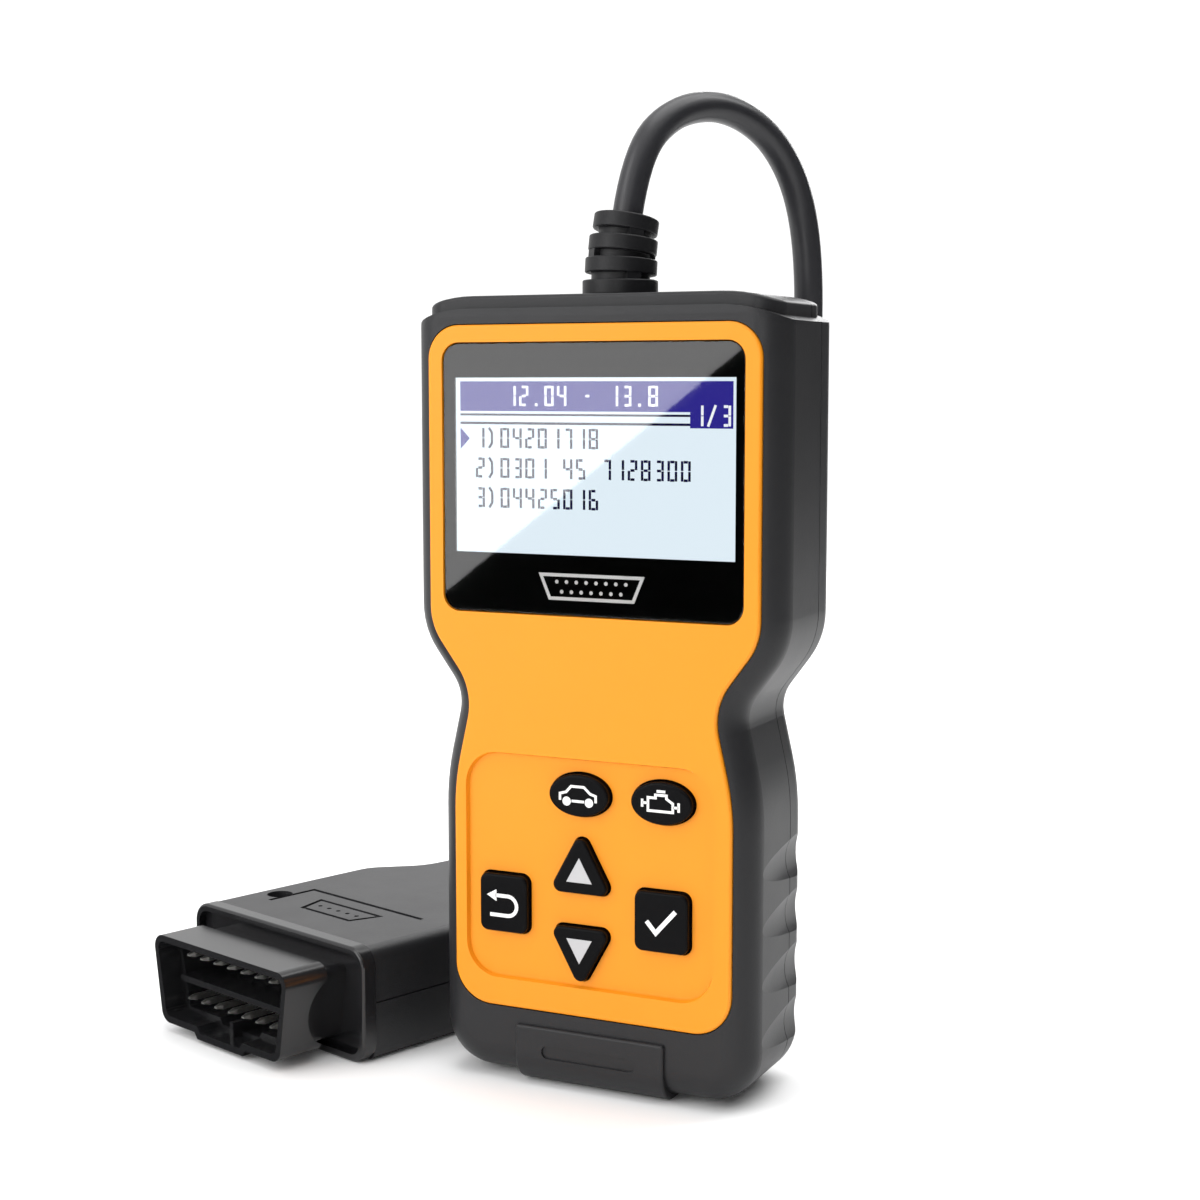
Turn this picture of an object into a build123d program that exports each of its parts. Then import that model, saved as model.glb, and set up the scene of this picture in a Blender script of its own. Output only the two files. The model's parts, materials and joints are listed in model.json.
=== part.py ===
from build123d import *
import math
import os

# OBD code reader: a handheld reader, its lead and its 16-pin diagnostic plug, in millimetres.
# The reader stands on its bottom end with its face towards -Y and its right side towards +X.
# The origin is the centre of that bottom end, and +Z is up.

os.makedirs("parts", exist_ok=True)

# ---------------------------------------------------------------- driving dimensions

# Depths of the reader's layers, from its face (-Y) to its back (+Y)
KEY_TOP_Y = -12.6
FACE_Y = -12.0
RIM_Y = -11.7
PLATE_BACK_Y = -10.1
FRONT_WALL_Y = -8.6
BOARD_FRONT_Y = -5.0
BOARD_BACK_Y = -3.4
SPLIT_Y = 5.3
BACK_WALL_Y = 10.4
BACK_Y = 12.6

# Front outline of the faceplate: wide head, narrow waist, grip
HEAD_HALF = 29.2
WAIST_HALF = 21.3
GRIP_HALF = 24.8
SHOULDER_Z = 76.0
WAIST_Z = 65.4
HIP_Z = 50.1
SHOULDER_RADIUS = 10.0
HIP_RADIUS = 40.0
PLATE_LOW = 12.8
PLATE_HIGH = 125.3

# Housing around it
HOUSING_MARGIN = 3.5
WALL = 2.0
HOUSING_LOW = 1.0
SHOULDER_TOP = 127.9
CAP_TOP = 130.0
CROWN_FLAT_HALF = 22.0
CROWN_END_HALF = 38.0
CROWN_DROP = 5.8
CAVITY_LOW = 3.2
CAVITY_HIGH = 124.6

# Display
WINDOW_WIDTH = 53.2
WINDOW_LOW = 78.6
WINDOW_HIGH = 122.5
VIEW_WIDTH = 49.4
VIEW_LOW = 88.4
VIEW_HIGH = 116.8
WINDOW_Z = (WINDOW_LOW + WINDOW_HIGH) / 2
VIEW_Z = (VIEW_LOW + VIEW_HIGH) / 2
LCD_WIDTH = 52.0
LCD_HEIGHT = 32.0
LCD_FRONT_Y = -9.9
BACKLIGHT_FRONT_Y = -8.3

# Keypad
RECESS_WIDTH = 43.8
RECESS_X = -0.4
RECESS_LOW = 17.9
RECESS_HIGH = 55.3
RECESS_DEPTH = 0.8
RECESS_RADIUS = 5.5
RECESS_Z = (RECESS_LOW + RECESS_HIGH) / 2
KEY_GAP = 0.3
KEY_FLANGE = 0.8
MAT_GAP = 0.4
MAT_FRONT_Y = -8.4
MAT_BACK_Y = -7.2
PILL_Y = -6.1
OVAL, SQUARE, UP, DOWN = "oval", "square", "up", "down"
# name: shape, x, z, width, height
KEYS = {
    "key_info": (OVAL, -1.6, 49.7, 10.6, 6.9),
    "key_codes": (OVAL, 13.0, 49.7, 10.6, 6.9),
    "key_up": (UP, -1.4, 38.7, 11.4, 10.4),
    "key_down": (DOWN, -1.4, 22.7, 11.4, 10.3),
    "key_back": (SQUARE, -15.4, 30.4, 8.7, 9.7),
    "key_confirm": (SQUARE, 13.0, 30.4, 9.3, 9.8),
}

# Fasteners
HOUSING_SCREWS = [(-25.4, 121.6), (25.4, 121.6), (-20.9, 9.2), (20.9, 9.2)]
BOARD_SCREWS = [(-24.6, 80.4), (24.6, 80.4), (-21.2, 15.2), (21.2, 15.2)]
BOSS_RADIUS = 2.6
SCREW_RADIUS = 1.2
SCREW_HEAD_RADIUS = 2.2
BOARD_SCREW_RADIUS = 0.9

# Lead and its strain relief on top of the reader
CORD_RADIUS = 2.5
RELIEF_LENGTH = 12.7
RELIEF_BEND = 13.0
RELIEF_BASE_RADIUS = 6.15
RELIEF_TOP_RADIUS = 5.1
RELIEF_HEADING = (0.458, 0.889)
NECK_RADIUS = 4.4

# Diagnostic plug, lying on its hood to the left of the reader, its mouth forward
PLUG_X = -67.4
PLUG_Y = -20.5
PLUG_YAW = 18.0
SHROUD_TOP_WIDTH = 39.0
SHROUD_LOW_WIDTH = 34.0
SHROUD_LOW = 1.8
SHROUD_HIGH = 17.6
SHROUD_WALL = 1.2
SHROUD_DEPTH = 14.0
SLEEVE_BACK = 8.9
SLEEVE_STEP = 1.2
SOCKET_STEP = 4.6
FLANGE_FRONT = 12.4
FLANGE_BACK = 15.2
FLANGE_WIDTH = 48.5
FLANGE_HEIGHT = 20.2
PIN_PITCH = 4.0
PIN_ROW_OFFSET = 4.0
PIN_TIP = 3.6
HOOD_FRONT = FLANGE_BACK
HOOD_SHOULDER = 53.0
HOOD_NECK = 62.0
HOOD_BACK = 84.0
HOOD_HALF = 23.7
HOOD_NECK_HALF = 17.0
HOOD_HIGH = 19.9
HOOD_SEAM = 10.3
HOOD_WALL = 1.8
PLUG_SCREWS = [(-17.6, 27.0), (11.0, 60.0)]
PLUG_RELIEF_BACK = 100.0
CORD_HEIGHT_AT_PLUG = 10.3

# Spare length of the lead, wound in a coil of two stacked turns behind the reader
COIL_X = -50.0
COIL_Y = 125.0
COIL_RADIUS = 27.5
COIL_STUB = 18.0
COIL_EXIT_ANGLE = -14.0


# ---------------------------------------------------------------- shared planes and outlines

def at_depth(y):
    """Sketch plane that faces the front, at depth y; its x is +X and its y is +Z."""
    return Plane.XZ.offset(-y)


def at_height(z):
    return Plane.XY.offset(z)


def body_outline(margin, low, high, low_radius, high_radius):
    """Front outline of the reader, margin outside the faceplate's sides, from low to high."""
    sides = [(HEAD_HALF, 170), (HEAD_HALF, SHOULDER_Z), (WAIST_HALF, WAIST_Z), (GRIP_HALF, HIP_Z),
             (GRIP_HALF, -40)]
    corners = sides + [(-x, z) for x, z in reversed(sides)]
    right = [1, SHOULDER_RADIUS, SHOULDER_RADIUS, HIP_RADIUS, 1]
    with BuildSketch() as outline:
        with BuildLine():
            FilletPolyline(*corners, radius=right + right[::-1], close=True)
        make_face()
        if margin:
            offset(amount=margin, kind=Kind.ARC)
        with Locations((0, (low + high) / 2)):
            Rectangle(200, high - low, mode=Mode.INTERSECT)
        fillet(outline.vertices().group_by(Axis.Y)[0], low_radius)
        fillet(outline.vertices().group_by(Axis.Y)[-1], high_radius)
    return outline.sketch


def crowned_top(high):
    """Sketch of everything below a top line that is flat in the middle and falls at both ends."""
    end = high - CROWN_DROP
    with BuildSketch() as crown:
        with BuildLine():
            Polyline((-CROWN_END_HALF, end), (-CROWN_END_HALF, -10), (CROWN_END_HALF, -10),
                     (CROWN_END_HALF, end))
            TangentArc((CROWN_FLAT_HALF, high), (CROWN_END_HALF, end), tangent=(1, 0))
            Line((CROWN_FLAT_HALF, high), (-CROWN_FLAT_HALF, high))
            TangentArc((-CROWN_FLAT_HALF, high), (-CROWN_END_HALF, end), tangent=(-1, 0))
        make_face()
    return crown.sketch


def key_outline(name, grow):
    """A key's front shape, grown by grow all round."""
    shape, x, z, width, height = KEYS[name]
    with BuildSketch() as outline:
        with Locations((x, z)):
            if shape == OVAL:
                Ellipse(width / 2 + grow, height / 2 + grow)
            elif shape == SQUARE:
                RectangleRounded(width + 2 * grow, height + 2 * grow, 1.4 + grow)
            else:
                tip = height / 2 if shape == UP else -height / 2
                Polygon((-width / 2, -tip), (width / 2, -tip), (0, tip), align=None)
        if shape in (UP, DOWN):
            fillet(outline.vertices(), 1.3)
            if grow:
                offset(amount=grow, kind=Kind.ARC)
    return outline.sketch


def block(y_front, y_back, x, z, width, height, radius):
    """A piece with rounded corners that lies parallel to the board, centred at x and z."""
    with BuildPart() as piece:
        with BuildSketch(at_depth(y_back)):
            with Locations((x, z)):
                RectangleRounded(width, height, radius)
        extrude(amount=y_back - y_front)
    return piece


# ---------------------------------------------------------------- shapes shared by both shells

# Raised cap along the top end; each shell carries its half
with BuildPart() as cap:
    with BuildSketch(at_height(SHOULDER_TOP - 4)):
        with Locations((0, (RIM_Y + BACK_Y) / 2)):
            RectangleRounded(2 * (HEAD_HALF + HOUSING_MARGIN - 1.7), BACK_Y - RIM_Y - 2.6, 4.2)
    extrude(amount=8)
    with BuildSketch(at_depth(BACK_Y + 1)):
        add(crowned_top(CAP_TOP))
    extrude(amount=40, mode=Mode.INTERSECT)
    top_faces = cap.faces().filter_by(lambda face: face.normal_at().Z > 0.5)
    fillet(top_faces.edges().filter_by(lambda edge: abs(abs(edge.center().X) - CROWN_FLAT_HALF) > 0.1), 0.6)

# Pad under the bottom end, wrapped round its front edge, that the reader stands on
PAD_HALF = 13.4
PAD_TOP = 10.2
PAD_FRONT_Y = RIM_Y - 0.7
with BuildPart() as pad:
    with BuildSketch(Plane.YZ.offset(-PAD_HALF)):
        with BuildLine():
            FilletPolyline((PAD_FRONT_Y, PAD_TOP), (PAD_FRONT_Y, 0), (BACK_Y - 1.6, 0),
                           (BACK_Y - 1.6, PAD_TOP), radius=[0.5, 5.0, 2.5, 0.5], close=True)
        make_face()
    extrude(amount=2 * PAD_HALF)
    fillet(pad.faces().group_by(Axis.X)[0].edges(), 0.45)
    fillet(pad.faces().group_by(Axis.X)[-1].edges(), 0.45)
    # long shallow finger mark across the pad, under its top lip
    with BuildSketch(at_depth(PAD_FRONT_Y + 0.35)):
        with Locations((0, 6.1)):
            SlotOverall(17.0, 2.2)
    extrude(amount=2, mode=Mode.SUBTRACT)

# Four scoops down each side of the grip, deepest at the back and gone near the face
SCOOP_PITCH = 9.15
SCOOP_LOWEST = 11.2
SCOOP_RADIUS = 7.0
SCOOP_DEPTH = 1.25
SCOOP_FADE_Y = -7.0
scoop_tilt = math.degrees(math.atan2(SCOOP_DEPTH, BACK_Y - SCOOP_FADE_Y))
side_x = GRIP_HALF + HOUSING_MARGIN
with BuildPart() as grip_scoops:
    for side in (1, -1):
        for step in range(4):
            start = Vector(side * (side_x + SCOOP_RADIUS), SCOOP_FADE_Y, SCOOP_LOWEST + step * SCOOP_PITCH)
            lean = math.radians(scoop_tilt)
            run = Vector(-side * math.sin(lean), math.cos(lean), 0)
            with BuildSketch(Plane(origin=start - run * 10, z_dir=run)):
                Circle(SCOOP_RADIUS)
            extrude(amount=44)

# Halves of the shared shapes, one for each shell
cap_front = split(cap.part, bisect_by=at_depth(SPLIT_Y), keep=Keep.TOP)
cap_back = split(cap.part, bisect_by=at_depth(SPLIT_Y), keep=Keep.BOTTOM)
pad_front = split(pad.part, bisect_by=at_depth(SPLIT_Y), keep=Keep.TOP)
pad_back = split(pad.part, bisect_by=at_depth(SPLIT_Y), keep=Keep.BOTTOM)


# ---------------------------------------------------------------- reader housing

FRONT_ROUNDING = 5.0
PARTING_BEVEL = 0.2
with BuildPart() as front_shell:
    # solid block, rounded round its face, then given its crowned top and cap
    with BuildSketch(at_depth(SPLIT_Y)):
        add(body_outline(HOUSING_MARGIN, HOUSING_LOW, SHOULDER_TOP + 3.6, 8.5, 6.5))
    extrude(amount=SPLIT_Y - RIM_Y)
    fillet(front_shell.faces().sort_by(Axis.Y)[0].edges(), FRONT_ROUNDING)
    with BuildSketch(at_depth(BACK_Y + 1)):
        add(crowned_top(SHOULDER_TOP))
    extrude(amount=40, mode=Mode.INTERSECT)
    add(cap_front)
    add(pad_front)
    add(grip_scoops.part, mode=Mode.SUBTRACT)
    # cavity open at the back
    with BuildSketch(at_depth(SPLIT_Y)):
        add(body_outline(HOUSING_MARGIN - WALL, CAVITY_LOW, CAVITY_HIGH, 6.0, 4.0))
    extrude(amount=SPLIT_Y - FRONT_WALL_Y, mode=Mode.SUBTRACT)
    # seat for the faceplate
    with BuildSketch(at_depth(PLATE_BACK_Y)):
        add(body_outline(0.15, PLATE_LOW - 0.15, PLATE_HIGH + 0.15, 6.65, 5.65))
    extrude(amount=6, mode=Mode.SUBTRACT)
    # display opening and key openings through the front wall
    with BuildSketch(at_depth(FRONT_WALL_Y)):
        with Locations((0, VIEW_Z)):
            RectangleRounded(LCD_WIDTH + 0.8, LCD_HEIGHT + 0.8, 0.8)
    extrude(amount=4, mode=Mode.SUBTRACT)
    with BuildSketch(at_depth(FRONT_WALL_Y)):
        for name in KEYS:
            add(key_outline(name, KEY_GAP))
    extrude(amount=4, mode=Mode.SUBTRACT)
    # screw bosses for the back shell and posts for the board
    with BuildSketch(at_depth(SPLIT_Y - 2.0)):
        with Locations(*HOUSING_SCREWS):
            Circle(BOSS_RADIUS)
    extrude(amount=SPLIT_Y - 2.0 - FRONT_WALL_Y + 0.5)
    with BuildSketch(at_depth(SPLIT_Y - 2.0)):
        with Locations(*HOUSING_SCREWS):
            Circle(SCREW_RADIUS)
    extrude(amount=9, mode=Mode.SUBTRACT)
    with BuildSketch(at_depth(BOARD_FRONT_Y)):
        with Locations(*BOARD_SCREWS):
            Circle(2.1)
    extrude(amount=BOARD_FRONT_Y - FRONT_WALL_Y + 0.5)
    with BuildSketch(at_depth(BOARD_FRONT_Y)):
        with Locations(*BOARD_SCREWS):
            Circle(BOARD_SCREW_RADIUS)
    extrude(amount=3, mode=Mode.SUBTRACT)
    # hole for the lead in the top end
    with BuildSketch(at_height(CAVITY_HIGH - 1)):
        Circle(NECK_RADIUS)
    extrude(amount=8, mode=Mode.SUBTRACT)
    # bevelled parting edge
    chamfer(front_shell.faces().sort_by(Axis.Y)[-1].outer_wire().edges(), PARTING_BEVEL)
front_shell.part.label = "front_shell"
export_step(front_shell.part, "parts/front_shell.step")

COLUMN_RADIUS = 3.3
SCREW_SEAT_Y = BACK_Y - 3.0
LABEL_WIDTH = 38.0
LABEL_HEIGHT = 30.0
LABEL_Z = 92.0
LABEL_THICKNESS = 0.4
with BuildPart() as back_shell:
    with BuildSketch(at_depth(BACK_Y)):
        add(body_outline(HOUSING_MARGIN, HOUSING_LOW, SHOULDER_TOP + 3.6, 8.5, 6.5))
    extrude(amount=BACK_Y - SPLIT_Y)
    fillet(back_shell.faces().sort_by(Axis.Y)[-1].edges(), 4.5)
    with BuildSketch(at_depth(BACK_Y + 1)):
        add(crowned_top(SHOULDER_TOP))
    extrude(amount=40, mode=Mode.INTERSECT)
    add(cap_back)
    add(pad_back)
    add(grip_scoops.part, mode=Mode.SUBTRACT)
    # cavity open at the front
    with BuildSketch(at_depth(BACK_WALL_Y)):
        add(body_outline(HOUSING_MARGIN - WALL - 0.6, CAVITY_LOW + 0.6, CAVITY_HIGH - 0.6, 5.4, 3.4))
    extrude(amount=10, mode=Mode.SUBTRACT)
    # screw columns that meet the front shell's bosses
    with BuildSketch(at_depth(BACK_WALL_Y + 0.5)):
        with Locations(*HOUSING_SCREWS):
            Circle(COLUMN_RADIUS)
    extrude(amount=BACK_WALL_Y + 0.5 - SPLIT_Y)
    with BuildSketch(at_depth(BACK_WALL_Y + 0.5)):
        with Locations(*HOUSING_SCREWS):
            Circle(BOSS_RADIUS - 0.3)
    extrude(amount=BACK_WALL_Y + 0.5 - (SPLIT_Y - 2.0))
    with BuildSketch(at_depth(BACK_Y)):
        with Locations(*HOUSING_SCREWS):
            Circle(SCREW_RADIUS + 0.2)
    extrude(amount=12, mode=Mode.SUBTRACT)
    with BuildSketch(at_depth(SCREW_SEAT_Y)):
        with Locations(*HOUSING_SCREWS):
            Circle(SCREW_HEAD_RADIUS + 0.4)
    extrude(amount=-5, mode=Mode.SUBTRACT)
    # recess for the rear label
    with BuildSketch(at_depth(BACK_Y - LABEL_THICKNESS)):
        with Locations((0, LABEL_Z)):
            RectangleRounded(LABEL_WIDTH + 0.4, LABEL_HEIGHT + 0.4, 2.2)
    extrude(amount=-2, mode=Mode.SUBTRACT)
back_shell.part.label = "back_shell"
export_step(back_shell.part, "parts/back_shell.step")

with BuildPart() as rear_label:
    with BuildSketch(at_depth(BACK_Y - LABEL_THICKNESS)):
        with Locations((0, LABEL_Z)):
            RectangleRounded(LABEL_WIDTH, LABEL_HEIGHT, 2.0)
    extrude(amount=-LABEL_THICKNESS)
rear_label.part.label = "rear_label"
export_step(rear_label.part, "parts/rear_label.step")

with BuildPart() as faceplate:
    with BuildSketch(at_depth(PLATE_BACK_Y)):
        add(body_outline(0, PLATE_LOW, PLATE_HIGH, 6.5, 5.5))
    extrude(amount=PLATE_BACK_Y - FACE_Y)
    fillet(faceplate.faces().sort_by(Axis.Y)[0].edges(), 0.5)
    with BuildSketch(at_depth(FACE_Y + RECESS_DEPTH)):
        with Locations((RECESS_X, RECESS_Z)):
            RectangleRounded(RECESS_WIDTH, RECESS_HIGH - RECESS_LOW, RECESS_RADIUS)
    extrude(amount=2, mode=Mode.SUBTRACT, taper=-20)
    with BuildSketch(at_depth(PLATE_BACK_Y)):
        with Locations((0, WINDOW_Z)):
            RectangleRounded(WINDOW_WIDTH, WINDOW_HIGH - WINDOW_LOW, 3.0)
    extrude(amount=4, mode=Mode.SUBTRACT)
    with BuildSketch(at_depth(PLATE_BACK_Y)):
        for name in KEYS:
            add(key_outline(name, KEY_GAP))
    extrude(amount=4, mode=Mode.SUBTRACT)
faceplate.part.label = "faceplate"
export_step(faceplate.part, "parts/faceplate.step")


# ---------------------------------------------------------------- display

LENS_FRONT_Y = -11.75
LENS_BACK_Y = -10.5
WINDOW_HEIGHT = WINDOW_HIGH - WINDOW_LOW
with BuildPart() as display_window:
    with BuildSketch(at_depth(LENS_BACK_Y)):
        with Locations((0, WINDOW_Z)):
            RectangleRounded(WINDOW_WIDTH - 0.2, WINDOW_HEIGHT - 0.2, 2.9)
    extrude(amount=LENS_BACK_Y - LENS_FRONT_Y)
    fillet(display_window.faces().sort_by(Axis.Y)[0].edges(), 0.25)
display_window.part.label = "display_window"
export_step(display_window.part, "parts/display_window.step")

# black printed and adhesive frame between the window and the front shell
with BuildPart() as window_border:
    with BuildSketch(at_depth(PLATE_BACK_Y)):
        with Locations((0, WINDOW_Z)):
            RectangleRounded(WINDOW_WIDTH - 0.2, WINDOW_HEIGHT - 0.2, 2.9)
        with Locations((0, VIEW_Z)):
            Rectangle(VIEW_WIDTH, VIEW_HIGH - VIEW_LOW, mode=Mode.SUBTRACT)
    extrude(amount=PLATE_BACK_Y - LENS_BACK_Y)
window_border.part.label = "window_border"
export_step(window_border.part, "parts/window_border.step")

lcd_glass = block(LCD_FRONT_Y, BACKLIGHT_FRONT_Y, 0, VIEW_Z, LCD_WIDTH, LCD_HEIGHT, 0.3)
lcd_glass.part.label = "lcd_glass"
export_step(lcd_glass.part, "parts/lcd_glass.step")

BACKLIGHT_WIDTH = 54.0
BACKLIGHT_HEIGHT = 32.4
lcd_backlight = block(BACKLIGHT_FRONT_Y, BOARD_FRONT_Y, 0, VIEW_Z, BACKLIGHT_WIDTH, BACKLIGHT_HEIGHT, 1.0)
lcd_backlight.part.label = "lcd_backlight"
export_step(lcd_backlight.part, "parts/lcd_backlight.step")


# ---------------------------------------------------------------- board and its components

BOARD_LOW = 12.6
BOARD_HIGH = 118.6
with BuildPart() as main_board:
    with BuildSketch(at_depth(BOARD_BACK_Y)):
        add(body_outline(-0.9, BOARD_LOW, BOARD_HIGH, 2.0, 2.0))
    extrude(amount=BOARD_BACK_Y - BOARD_FRONT_Y)
    with BuildSketch(at_depth(BOARD_BACK_Y)):
        with Locations(*BOARD_SCREWS):
            Circle(BOARD_SCREW_RADIUS + 0.15)
    extrude(amount=3, mode=Mode.SUBTRACT)
main_board.part.label = "main_board"
export_step(main_board.part, "parts/main_board.step")

processor = block(BOARD_BACK_Y, BOARD_BACK_Y + 1.5, 0, 62, 12, 12, 0.3)
processor.part.label = "processor"
export_step(processor.part, "parts/processor.step")

memory_chip = block(BOARD_BACK_Y, BOARD_BACK_Y + 1.7, 12.5, 78, 5.2, 5.0, 0.2)
memory_chip.part.label = "memory_chip"
export_step(memory_chip.part, "parts/memory_chip.step")

TRANSCEIVER_Z = [88.0, 96.0, 104.0]
with BuildPart() as bus_transceivers:
    with BuildSketch(at_depth(BOARD_BACK_Y)):
        with Locations(*[(-12, z) for z in TRANSCEIVER_Z]):
            RectangleRounded(6.0, 4.9, 0.2)
    extrude(amount=-1.6)
bus_transceivers.part.label = "bus_transceivers"
export_step(bus_transceivers.part, "parts/bus_transceivers.step")

crystal = block(BOARD_BACK_Y, BOARD_BACK_Y + 3.5, -13, 66, 10.0, 3.8, 1.8)
crystal.part.label = "crystal"
export_step(crystal.part, "parts/crystal.step")

voltage_regulator = block(BOARD_BACK_Y, BOARD_BACK_Y + 2.3, 18, 104, 6.5, 6.1, 0.2)
voltage_regulator.part.label = "voltage_regulator"
export_step(voltage_regulator.part, "parts/voltage_regulator.step")

CAPACITORS = [(8.0, 96.0), (17.0, 94.0)]
with BuildPart() as capacitors:
    with BuildSketch(at_depth(BOARD_BACK_Y)):
        with Locations(*CAPACITORS):
            Circle(3.15)
    extrude(amount=-7.0)
    fillet(capacitors.faces().group_by(Axis.Y)[-1].edges(), 0.4)
capacitors.part.label = "capacitors"
export_step(capacitors.part, "parts/capacitors.step")

HEADER_HIGH = 115.0
HEADER_HEIGHT = 6.0
HEADER_BACK_Y = BOARD_BACK_Y + 6.0
wire_header = block(BOARD_BACK_Y, HEADER_BACK_Y, 0, HEADER_HIGH - HEADER_HEIGHT / 2, 13.0, HEADER_HEIGHT, 0.3)
wire_header.part.label = "wire_header"
export_step(wire_header.part, "parts/wire_header.step")

with BuildPart() as board_screws:
    with BuildSketch(at_depth(BOARD_BACK_Y)):
        with Locations(*BOARD_SCREWS):
            Circle(BOARD_SCREW_RADIUS)
    extrude(amount=4.4)
    with BuildSketch(at_depth(BOARD_BACK_Y)):
        with Locations(*BOARD_SCREWS):
            Circle(1.8)
    extrude(amount=-1.3)
    with BuildSketch(at_depth(BOARD_BACK_Y + 0.7)):
        with Locations(*BOARD_SCREWS):
            Rectangle(2.0, 0.45)
            Rectangle(0.45, 2.0)
    extrude(amount=-2, mode=Mode.SUBTRACT)
board_screws.part.label = "board_screws"
export_step(board_screws.part, "parts/board_screws.step")

with BuildPart() as housing_screws:
    with BuildSketch(at_depth(SCREW_SEAT_Y)):
        with Locations(*HOUSING_SCREWS):
            Circle(SCREW_RADIUS)
    extrude(amount=11.5)
    with BuildSketch(at_depth(SCREW_SEAT_Y)):
        with Locations(*HOUSING_SCREWS):
            Circle(SCREW_HEAD_RADIUS)
    extrude(amount=-1.8)
    fillet(housing_screws.faces().group_by(Axis.Y)[-1].edges(), 0.4)
    with BuildSketch(at_depth(SCREW_SEAT_Y + 0.8)):
        with Locations(*HOUSING_SCREWS):
            Rectangle(2.6, 0.6)
            Rectangle(0.6, 2.6)
    extrude(amount=-2, mode=Mode.SUBTRACT)
housing_screws.part.label = "housing_screws"
export_step(housing_screws.part, "parts/housing_screws.step")


# ---------------------------------------------------------------- keypad

MAT_WIDTH = 43.0
MAT_LOW = 16.0
MAT_HIGH = 55.6
MAT_RADIUS = 6.0
MAT_Z = (MAT_LOW + MAT_HIGH) / 2
with BuildPart() as keypad_mat:
    with BuildSketch(at_depth(MAT_BACK_Y)):
        with Locations((0, MAT_Z)):
            RectangleRounded(MAT_WIDTH, MAT_HIGH - MAT_LOW, MAT_RADIUS)
        for name in KEYS:
            add(key_outline(name, KEY_FLANGE + MAT_GAP), mode=Mode.SUBTRACT)
    extrude(amount=MAT_BACK_Y - MAT_FRONT_Y)
    # rim that stands on the board
    with BuildSketch(at_depth(BOARD_FRONT_Y)):
        with Locations((0, MAT_Z)):
            RectangleRounded(MAT_WIDTH, MAT_HIGH - MAT_LOW, MAT_RADIUS)
            RectangleRounded(MAT_WIDTH - 1.8, MAT_HIGH - MAT_LOW - 1.8, MAT_RADIUS - 0.9,
                             mode=Mode.SUBTRACT)
    extrude(amount=BOARD_FRONT_Y - MAT_BACK_Y)
keypad_mat.part.label = "keypad_mat"
export_step(keypad_mat.part, "parts/keypad_mat.step")

# Each key is a cap through the faceplate, a flange behind the front wall and a contact foot
for name in KEYS:
    with BuildPart() as key:
        with BuildSketch(at_depth(MAT_FRONT_Y)):
            add(key_outline(name, 0))
        extrude(amount=MAT_FRONT_Y - KEY_TOP_Y)
        fillet(key.faces().sort_by(Axis.Y)[0].edges(), 0.45)
        with BuildSketch(at_depth(MAT_BACK_Y)):
            add(key_outline(name, KEY_FLANGE))
        extrude(amount=MAT_BACK_Y - MAT_FRONT_Y)
        with BuildSketch(at_depth(PILL_Y)):
            add(key_outline(name, -0.6))
        extrude(amount=PILL_Y - MAT_BACK_Y)
    key.part.label = name
    export_step(key.part, f"parts/{name}.step")


# ---------------------------------------------------------------- lead's strain relief on the reader

RING_HEIGHT = 2.5
RING_GAP = (RELIEF_LENGTH - 4 * RING_HEIGHT) / 3
CORE_INSET = 1.2
bend_radius = RELIEF_LENGTH / math.radians(RELIEF_BEND)
heading = Vector(RELIEF_HEADING[0], RELIEF_HEADING[1], 0)


def relief_plane(run):
    """Plane across the relief's curved axis, run along it from the reader's top."""
    turn = run / bend_radius
    away = bend_radius * (1 - math.cos(turn))
    up = bend_radius * math.sin(turn)
    origin = heading * away + Vector(0, 0, CAP_TOP + up)
    return Plane(origin=origin, x_dir=Vector(-heading.Y, heading.X, 0),
                 z_dir=heading * math.sin(turn) + Vector(0, 0, math.cos(turn)))


def relief_radius(run):
    return RELIEF_BASE_RADIUS + (RELIEF_TOP_RADIUS - RELIEF_BASE_RADIUS) * run / RELIEF_LENGTH


with BuildPart() as strain_relief:
    for ring in range(4):
        low = ring * (RING_HEIGHT + RING_GAP)
        with BuildSketch(relief_plane(low)):
            Circle(relief_radius(low))
        extrude(amount=RING_HEIGHT)
    fillet(strain_relief.edges().filter_by(GeomType.CIRCLE), 0.3)
    # core between the rings, with two ribs across each gap that alternate from gap to gap
    for gap in range(3):
        start = (gap + 1) * RING_HEIGHT + gap * RING_GAP - 0.3
        with BuildSketch(relief_plane(start)):
            Circle(relief_radius(start) - CORE_INSET)
            with PolarLocations(relief_radius(start) - 1.4, 2, start_angle=75 if gap % 2 else -15):
                Rectangle(2.2, 2.4)
        extrude(amount=RING_GAP + 0.6)
    # neck through the top wall and flange inside it
    with BuildSketch(at_height(CAP_TOP + 0.5)):
        Circle(NECK_RADIUS)
    extrude(amount=-(CAP_TOP + 0.5 - CAVITY_HIGH + 1.0))
    with BuildSketch(at_height(CAVITY_HIGH)):
        Circle(NECK_RADIUS + 0.7)
    extrude(amount=-2.0)
strain_relief.part.label = "strain_relief"
export_step(strain_relief.part, "parts/strain_relief.step")

WIRE_PITCH = 1.5
with BuildPart() as lead_wires:
    with BuildSketch(at_height(HEADER_HIGH)):
        with GridLocations(WIRE_PITCH, 1, 5, 1):
            Circle(0.55)
    extrude(amount=CAVITY_HIGH - 2.0 - HEADER_HIGH)
lead_wires.part.label = "lead_wires"
export_step(lead_wires.part, "parts/lead_wires.step")


# ---------------------------------------------------------------- diagnostic plug

yaw = math.radians(PLUG_YAW)
across = Vector(math.cos(yaw), -math.sin(yaw), 0)
rearward = Vector(math.sin(yaw), math.cos(yaw), 0)


def plug_point(b, a, z):
    """Point at b across the plug, a behind its mouth, and height z."""
    return Vector(PLUG_X, PLUG_Y, z) + across * b + rearward * a


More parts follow.
